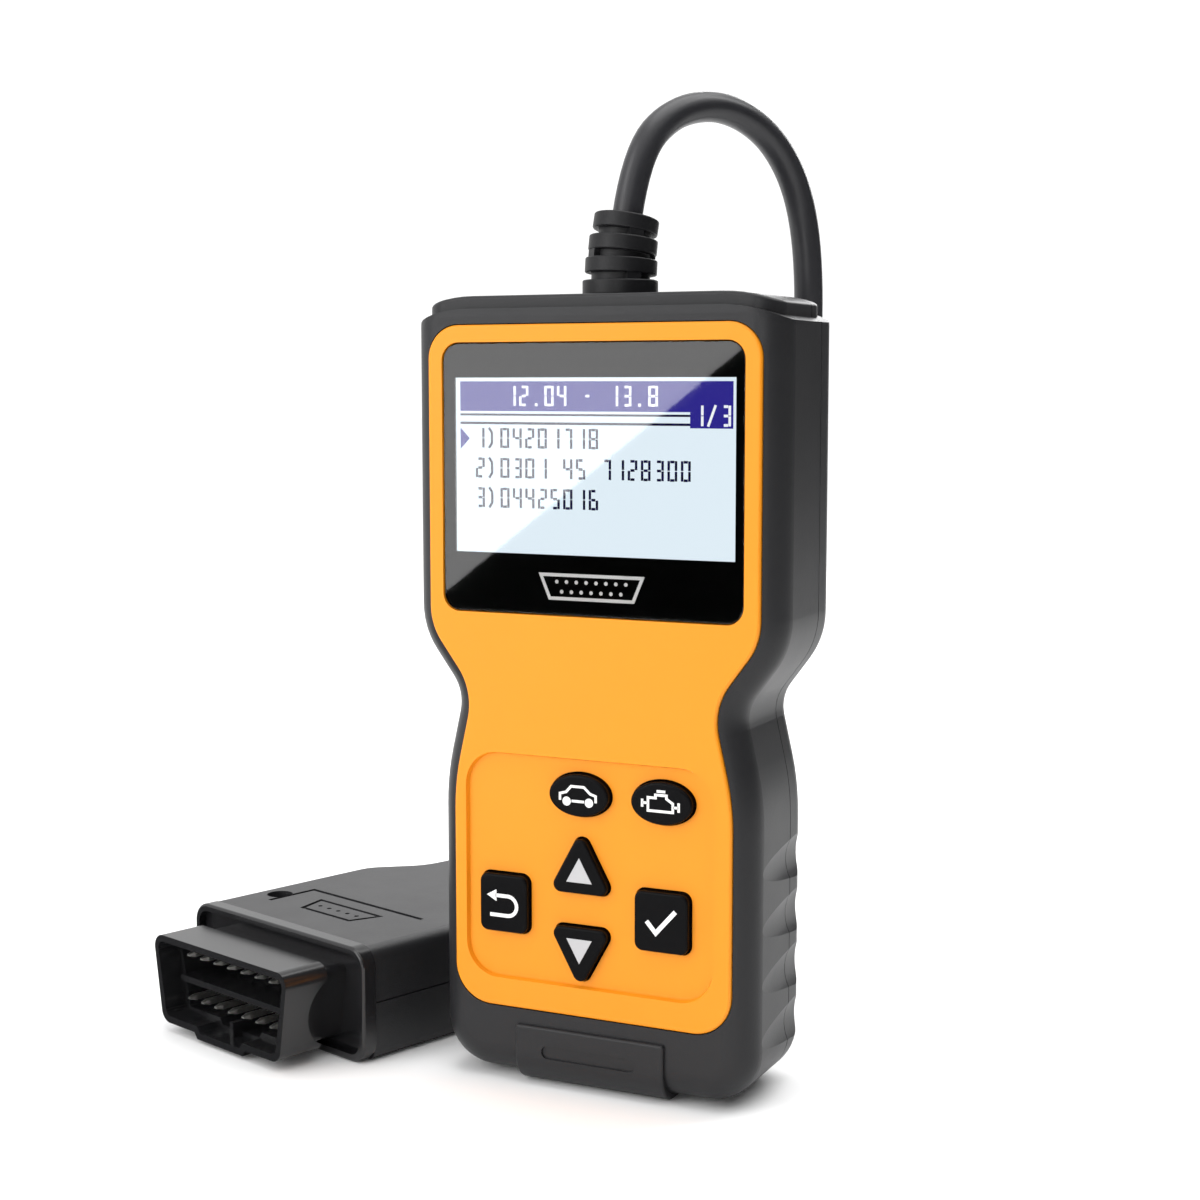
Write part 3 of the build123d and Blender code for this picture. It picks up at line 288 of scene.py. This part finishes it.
def stroke(points, width, closed=False):
    """Outlines of a line of even width along the points, one for each run, mitred at the corners."""
    corners = [Vector(point) for point in points]
    sides = []
    for i, corner in enumerate(corners):
        into = corner - corners[i - 1] if closed or i > 0 else corners[1] - corner
        out = corners[(i + 1) % len(corners)] - corner if closed or i < len(corners) - 1 else into
        middle = (into.normalized() + out.normalized()).normalized()
        reach = width / 2 / max(0.4, middle.dot(into.normalized()))
        across = Vector((-middle.y, middle.x)) * reach
        sides.append((tuple(corner + across), tuple(corner - across)))
    following = sides[1:] + sides[:1] if closed else sides[1:]
    return [[a, b, d, c] for (a, b), (c, d) in zip(sides, following)]


def arc(x, z, radius, start, end, steps):
    """Points on an arc, its angles in degrees."""
    angles = [math.radians(start + (end - start) * i / steps) for i in range(steps + 1)]
    return [(x + radius * math.cos(angle), z + radius * math.sin(angle)) for angle in angles]


# Print stands this far proud of the face it is on, and is sunk this far into it
PRINT_PROUD = 0.03
PRINT_SUNK = 0.05

# Display: a digit is made of up to seven bars, a to g, and each sign of a stroke of its own
CELL_WIDTH = 2.28
GLYPH_WIDTH = 1.66
GLYPH_HEIGHT = 3.3
LINE = 0.42
GAP = 0.06
MIDDLE = GLYPH_HEIGHT / 2
INNER = LINE + GAP
STROKES = {
    "a": [bar(INNER, GLYPH_HEIGHT - LINE, GLYPH_WIDTH - INNER, GLYPH_HEIGHT)],
    "b": [bar(GLYPH_WIDTH - LINE, MIDDLE + GAP, GLYPH_WIDTH, GLYPH_HEIGHT - GAP)],
    "c": [bar(GLYPH_WIDTH - LINE, GAP, GLYPH_WIDTH, MIDDLE - GAP)],
    "d": [bar(INNER, 0, GLYPH_WIDTH - INNER, LINE)],
    "e": [bar(0, GAP, LINE, MIDDLE - GAP)],
    "f": [bar(0, MIDDLE + GAP, LINE, GLYPH_HEIGHT - GAP)],
    "g": [bar(INNER, MIDDLE - LINE / 2, GLYPH_WIDTH - INNER, MIDDLE + LINE / 2)],
    "p": stroke([(0.2, GLYPH_HEIGHT), (0.75, 2.5), (0.75, 0.8), (0.2, 0)], LINE),
    "s": stroke([(0.15, 0), (1.4, GLYPH_HEIGHT)], LINE),
    "t": [bar(0.55, 0, 1.05, 0.5)],
}
CHARACTERS = {
    "0": "abcdef", "1": "bc", "2": "abged", "3": "abgcd", "4": "fgbc", "5": "afgcd", "6": "afgedc",
    "7": "abc", "8": "abcdefg", "9": "abcdfg", ")": "p", "/": "s", "-": "g", ".": "t", " ": "",
}


def characters(text, x, z):
    """Outlines of a row of characters whose lower left corner is at x and z."""
    outlines = []
    for place, character in enumerate(text):
        left = x + place * CELL_WIDTH
        for part in CHARACTERS[character]:
            for outline in STROKES[part]:
                outlines.append([(left + px, z + pz) for px, pz in outline])
    return outlines


SCREEN_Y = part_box("lcd_glass")[0][1] / MM
SCREEN_FRONT = SCREEN_Y - PRINT_PROUD
SCREEN_BACK = SCREEN_Y + PRINT_SUNK
HEADING_FRONT = SCREEN_Y - 2 * PRINT_PROUD
VIEW_LEFT = -24.0
VIEW_RIGHT = 24.0
HEADER_LOW = 111.4
HEADER_HIGH = 116.2
HEADING_LEFT = -15.4
HEADING_LOW = 112.2
COUNTER_LEFT = 16.8
COUNTER_LOW = 108.9
COUNTER_TEXT_LEFT = COUNTER_LEFT + 0.6
COUNTER_TEXT_LOW = 109.2
UPPER_RULE = (110.65, 111.0)
LOWER_RULE = (109.25, 109.65)
ROWS = ["1)04201718", "2)0301 45 7128300", "3)04425016"]
ROWS_LEFT = -21.2
TOP_ROW_LOW = 105.4
ROW_PITCH = 4.85
POINTER = [(VIEW_LEFT, 105.2), (VIEW_LEFT, 108.7), (-22.3, 106.95)]

flat_piece("screen_band", [bar(VIEW_LEFT, HEADER_LOW, VIEW_RIGHT, HEADER_HIGH)],
           SCREEN_FRONT, SCREEN_BACK, BAND, "reader")
flat_piece("screen_counter_box", [bar(COUNTER_LEFT, COUNTER_LOW, VIEW_RIGHT, HEADER_LOW)],
           SCREEN_FRONT, SCREEN_BACK, BAND, "reader")
rules = [bar(VIEW_LEFT, low, COUNTER_LEFT, high) for low, high in (UPPER_RULE, LOWER_RULE)]
flat_piece("screen_rules", rules, SCREEN_FRONT, SCREEN_BACK, INK, "reader")
heading = characters("12.04 - 13.8", HEADING_LEFT, HEADING_LOW)
heading += characters("1/3", COUNTER_TEXT_LEFT, COUNTER_TEXT_LOW)
flat_piece("screen_heading", heading, HEADING_FRONT, SCREEN_Y, PALE, "reader")
row_outlines = []
for number, text in enumerate(ROWS):
    row_outlines += characters(text, ROWS_LEFT, TOP_ROW_LOW - ROW_PITCH * number)
flat_piece("screen_rows", row_outlines, SCREEN_FRONT, SCREEN_BACK, INK, "reader")
flat_piece("screen_pointer", [POINTER], SCREEN_FRONT, SCREEN_BACK, BAND, "reader")

# Connector sign printed on the window's border, under the display
BORDER_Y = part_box("window_border")[0][1] / MM
BORDER_PRINT_PROUD = 0.01
SIGN = [(-9.0, 85.2), (9.0, 85.2), (7.4, 81.4), (-7.4, 81.4)]
SIGN_LINE = 0.55
DOT_RADIUS = 0.33
DOT_PITCH = 1.75
DOT_ROWS = ((84.1, 8), (82.5, 7))
window_sign = stroke(SIGN, SIGN_LINE, closed=True)
for row_z, count in DOT_ROWS:
    for i in range(count):
        dot_x = (i - (count - 1) / 2) * DOT_PITCH
        window_sign.append(arc(dot_x, row_z, DOT_RADIUS, 0, 330, 11))
flat_piece("window_sign", window_sign, BORDER_Y - BORDER_PRINT_PROUD, BORDER_Y + PRINT_SUNK,
           LEGEND_WHITE, "reader")

# Key legends, each about its key's centre
LEGEND_LINE = 0.42
ARROW_LINE = 0.62
TICK_LINE = 0.75
WHEEL_RADIUS = 0.75


def legend(key, outlines, material):
    """Print on a key's face, from outlines about the key's centre."""
    low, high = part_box(key)
    x = (low[0] + high[0]) / 2 / MM
    z = (low[2] + high[2]) / 2 / MM
    face = low[1] / MM
    placed = [[(px + x, pz + z) for px, pz in outline] for outline in outlines]
    flat_piece(key.replace("key", "legend"), placed, face - PRINT_PROUD, face + PRINT_SUNK, material,
               key)


car = stroke([(-3.2, -0.9), (-3.2, 0.2), (-2.1, 0.5), (-1.2, 1.5), (1.1, 1.5), (2.2, 0.5),
              (3.2, 0.2), (3.2, -0.9)], LEGEND_LINE)
car += stroke([(-1.1, -0.9), (1.1, -0.9)], LEGEND_LINE)
for wheel_x in (-2.0, 2.0):
    car.append(arc(wheel_x, -1.0, WHEEL_RADIUS, 0, 340, 17))
legend("key_info", car, LEGEND_WHITE)

engine = stroke([(-2.2, -1.2), (-2.2, 0.9), (-0.9, 0.9), (-0.9, 1.4), (1.0, 1.4), (1.0, 0.9),
                 (2.1, 0.2), (2.1, -1.2)], LEGEND_LINE, closed=True)
# Fan and its shaft, rear flange and its shaft, filler cap
for line in ([(-3.2, -0.7), (-3.2, 0.6)], [(-3.2, 0.0), (-2.2, 0.0)], [(3.1, -1.1), (3.1, 0.4)],
             [(2.1, -0.4), (3.1, -0.4)], [(-0.7, 2.0), (0.8, 2.0)]):
    engine += stroke(line, LEGEND_LINE)
legend("key_codes", engine, LEGEND_WHITE)

UP_TRIANGLE = [(-2.3, -2.6), (2.3, -2.6), (0, 1.5)]
legend("key_up", [UP_TRIANGLE], LEGEND_GREY)
legend("key_down", [[(x, -z) for x, z in UP_TRIANGLE]], LEGEND_GREY)

hook = [(-1.4, 1.3), (0.9, 1.3)] + arc(0.9, -0.35, 1.65, 85, -85, 12) + [(0.9, -2.0), (-2.4, -2.0)]
back_arrow = stroke(hook, ARROW_LINE)
back_arrow.append([(-3.0, 1.3), (-1.2, 2.3), (-1.2, 0.3)])
legend("key_back", back_arrow, LEGEND_WHITE)

tick = stroke([(-2.4, 0.1), (-0.8, -1.7), (2.6, 2.1)], TICK_LINE)
legend("key_confirm", tick, LEGEND_WHITE)

# Frame, plain lines and the connector sign on the rear label
LABEL_MARGIN = 2.0
LABEL_LINE_LOW = 3.0
LABEL_LINE_PITCH = 2.6
LABEL_LINE_HEIGHT = 0.7
LABEL_LINE_SHARES = (0.85, 0.6, 0.75, 0.4)
LABEL_TEXT_SHARE = 0.85
LABEL_SIGN_DROP = 88.5
LABEL_FRAME_LINE = 0.35
LABEL_SIGN_LINE = 0.45
LABEL_PRINT_PROUD = 0.02
label_low, label_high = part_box("rear_label")
label_y = label_high[1] / MM
label_x = label_high[0] / MM - LABEL_MARGIN
label_top = label_high[2] / MM - LABEL_MARGIN
label_bottom = label_low[2] / MM + LABEL_MARGIN
label_print = stroke([(-label_x, label_bottom), (label_x, label_bottom), (label_x, label_top),
                      (-label_x, label_top)], LABEL_FRAME_LINE, closed=True)
for number, share in enumerate(LABEL_LINE_SHARES):
    line_z = label_bottom + LABEL_LINE_LOW + number * LABEL_LINE_PITCH
    line_start = label_x - LABEL_MARGIN - 2 * label_x * share * LABEL_TEXT_SHARE
    label_print.append(bar(line_start, line_z, label_x - LABEL_MARGIN, line_z + LABEL_LINE_HEIGHT))
rear_sign = [(x, z + label_top - LABEL_SIGN_DROP) for x, z in SIGN]
label_print += stroke(rear_sign, LABEL_SIGN_LINE, closed=True)
flat_piece("label_print", label_print, label_y - PRINT_SUNK, label_y + LABEL_PRINT_PROUD, LABEL_INK,
           "reader")


# ---------------------------------------------------------------- coil's tie

TIE_ANGLE = math.radians(200)
TIE_WIDTH = 0.006
TIE_THICKNESS = 0.0006
TIE_LOWEST = 0.00005
TIE_STEPS = 24


def tie_loop(grow):
    """Points round both turns at the tie, (outward, up), grown by grow."""
    half = LEAD_RADIUS + grow
    points = []
    for step in range(TIE_STEPS):
        angle = math.radians(step * 360 / TIE_STEPS)
        centre = UPPER_TURN_Z if step <= TIE_STEPS / 2 else LOWER_TURN_Z
        points.append((half * math.cos(angle), max(TIE_LOWEST, centre + half * math.sin(angle))))
    return points


def make_tie():
    """A band of even thickness round both turns of the coil."""
    outward = Vector((math.cos(TIE_ANGLE), math.sin(TIE_ANGLE), 0))
    along = Vector((-math.sin(TIE_ANGLE), math.cos(TIE_ANGLE), 0))
    centre = Vector((COIL_X, COIL_Y, 0)) + outward * COIL_RADIUS
    mesh = bmesh.new()
    rings = []
    for grow, shift in ((0.0, -0.5), (TIE_THICKNESS, -0.5), (TIE_THICKNESS, 0.5), (0.0, 0.5)):
        ring = []
        for out, up in tie_loop(grow):
            place = centre + outward * out + along * (shift * TIE_WIDTH)
            ring.append(mesh.verts.new((place.x, place.y, up)))
        rings.append(ring)
    for ring, following in zip(rings, rings[1:] + rings[:1]):
        for i in range(len(ring)):
            j = (i + 1) % len(ring)
            mesh.faces.new((ring[i], ring[j], following[j], following[i]))
    bmesh.ops.recalc_face_normals(mesh, faces=mesh.faces)
    data = bpy.data.meshes.new("coil_tie")
    mesh.to_mesh(data)
    mesh.free()
    data.materials.append(TIE)
    piece = bpy.data.objects.new("coil_tie", data)
    bpy.context.collection.objects.link(piece)
    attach(piece, "reader")
    return piece


tie = make_tie()


# ---------------------------------------------------------------- floor and lights

def stage_plane(name, corners, material):
    """A flat piece of the studio, not of the part."""
    data = bpy.data.meshes.new(name)
    data.from_pydata(corners, [], [tuple(range(len(corners)))])
    data.materials.append(material)
    piece = bpy.data.objects.new(name, data)
    bpy.context.collection.objects.link(piece)
    return piece


FLOOR = surface("floor", (0.96, 0.96, 0.96), 0.75, grain=3.0, depth=0.01, mottle=0.0)
REACH = 6.0
stage_plane("floor", [(-REACH, -REACH, 0), (REACH, -REACH, 0), (REACH, REACH, 0),
                      (-REACH, REACH, 0)], FLOOR)


# Name, place, what it faces, width and height, watts
LIGHTS = [
    ("key_light", (-0.55, -0.75, 0.75), (0, 0, 0.07), (0.5, 0.5), 2.5),
    ("top_light", (0.1, 0.1, 0.95), (0, 0, 0.06), (0.8, 0.8), 5),
    ("rear_light", (-0.10, 0.90, 0.45), (0, 0, 0.10), (0.5, 0.3), 2),
    ("edge_light", (0.45, 0.42, 0.76), (-0.03, 0, 0.05), (0.10, 0.4), 1.2),
    ("low_fill", (0.10, -0.62, 0.10), (-0.06, 0.02, 0.01), (0.12, 0.12), 0.35),
]
for name, place, target, size, watts in LIGHTS:
    light = bpy.data.lights.new(name, "AREA")
    light.shape = "RECTANGLE"
    light.size, light.size_y = size
    light.energy = watts
    lamp = bpy.data.objects.new(name, light)
    lamp.location = place
    aim = Vector(target) - Vector(place)
    lamp.rotation_euler = aim.to_track_quat("-Z", "Y").to_euler()
    lamp.visible_camera = False
    bpy.context.collection.objects.link(lamp)

# A glowing card whose slanting edge shows in the flat window, and a dark flag behind it
CARD_Y = -0.612
CARD_HIGH = 0.40
FLAG_Y = CARD_Y - 0.01
GLARE = bpy.data.materials.new("glare_card")
GLARE.use_nodes = True
glare_shader = GLARE.node_tree.nodes["Principled BSDF"]
glare_shader.inputs["Base Color"].default_value = (0.5, 0.5, 0.5, 1)
glare_shader.inputs["Emission Color"].default_value = (1, 1, 1, 1)
glare_shader.inputs["Emission Strength"].default_value = 3.0
FLAG = surface("flag", (0.004, 0.004, 0.004), 0.9)
card = stage_plane("glare_card", [(-0.380, CARD_Y, 0.005), (0.02, CARD_Y, 0.307),
                                  (0.02, CARD_Y, CARD_HIGH), (-0.70, CARD_Y, CARD_HIGH),
                                  (-0.70, CARD_Y, 0.005)], GLARE)
flag = stage_plane("dark_flag", [(-0.55, FLAG_Y, 0.001), (0.10, FLAG_Y, 0.001),
                                 (0.10, FLAG_Y, 0.45), (-0.55, FLAG_Y, 0.45)], FLAG)

# A dark cloth beside the plug that shows only in reflections, and dark walls to the right
CLOTH_Z = 0.0004
cloth = stage_plane("dark_cloth", [(-0.40, -0.10, CLOTH_Z), (-0.055, -0.10, CLOTH_Z),
                                   (-0.055, 0.0, CLOTH_Z), (-0.40, 0.0, CLOTH_Z)], FLAG)
WALL_FEET = [(0.12, 1.05), (0.80, 0.30), (0.80, -0.40), (0.35, -0.62)]
WALL_LOW = 0.001
WALL_HIGH = 0.7
walls = []
for number, (start, end) in enumerate(zip(WALL_FEET, WALL_FEET[1:])):
    walls.append(stage_plane(f"dark_wall_{number}", [(*start, WALL_LOW), (*end, WALL_LOW),
                                                     (*end, WALL_HIGH), (*start, WALL_HIGH)], FLAG))
for stand in (card, flag, cloth, *walls):
    stand.visible_camera = False
    stand.visible_shadow = False
cloth.visible_diffuse = False

world = bpy.data.worlds.new("studio")
world.use_nodes = True
world.node_tree.nodes["Background"].inputs["Color"].default_value = (1, 1, 1, 1)
world.node_tree.nodes["Background"].inputs["Strength"].default_value = 1.12
bpy.context.scene.world = world

bpy.context.view_layer.update()
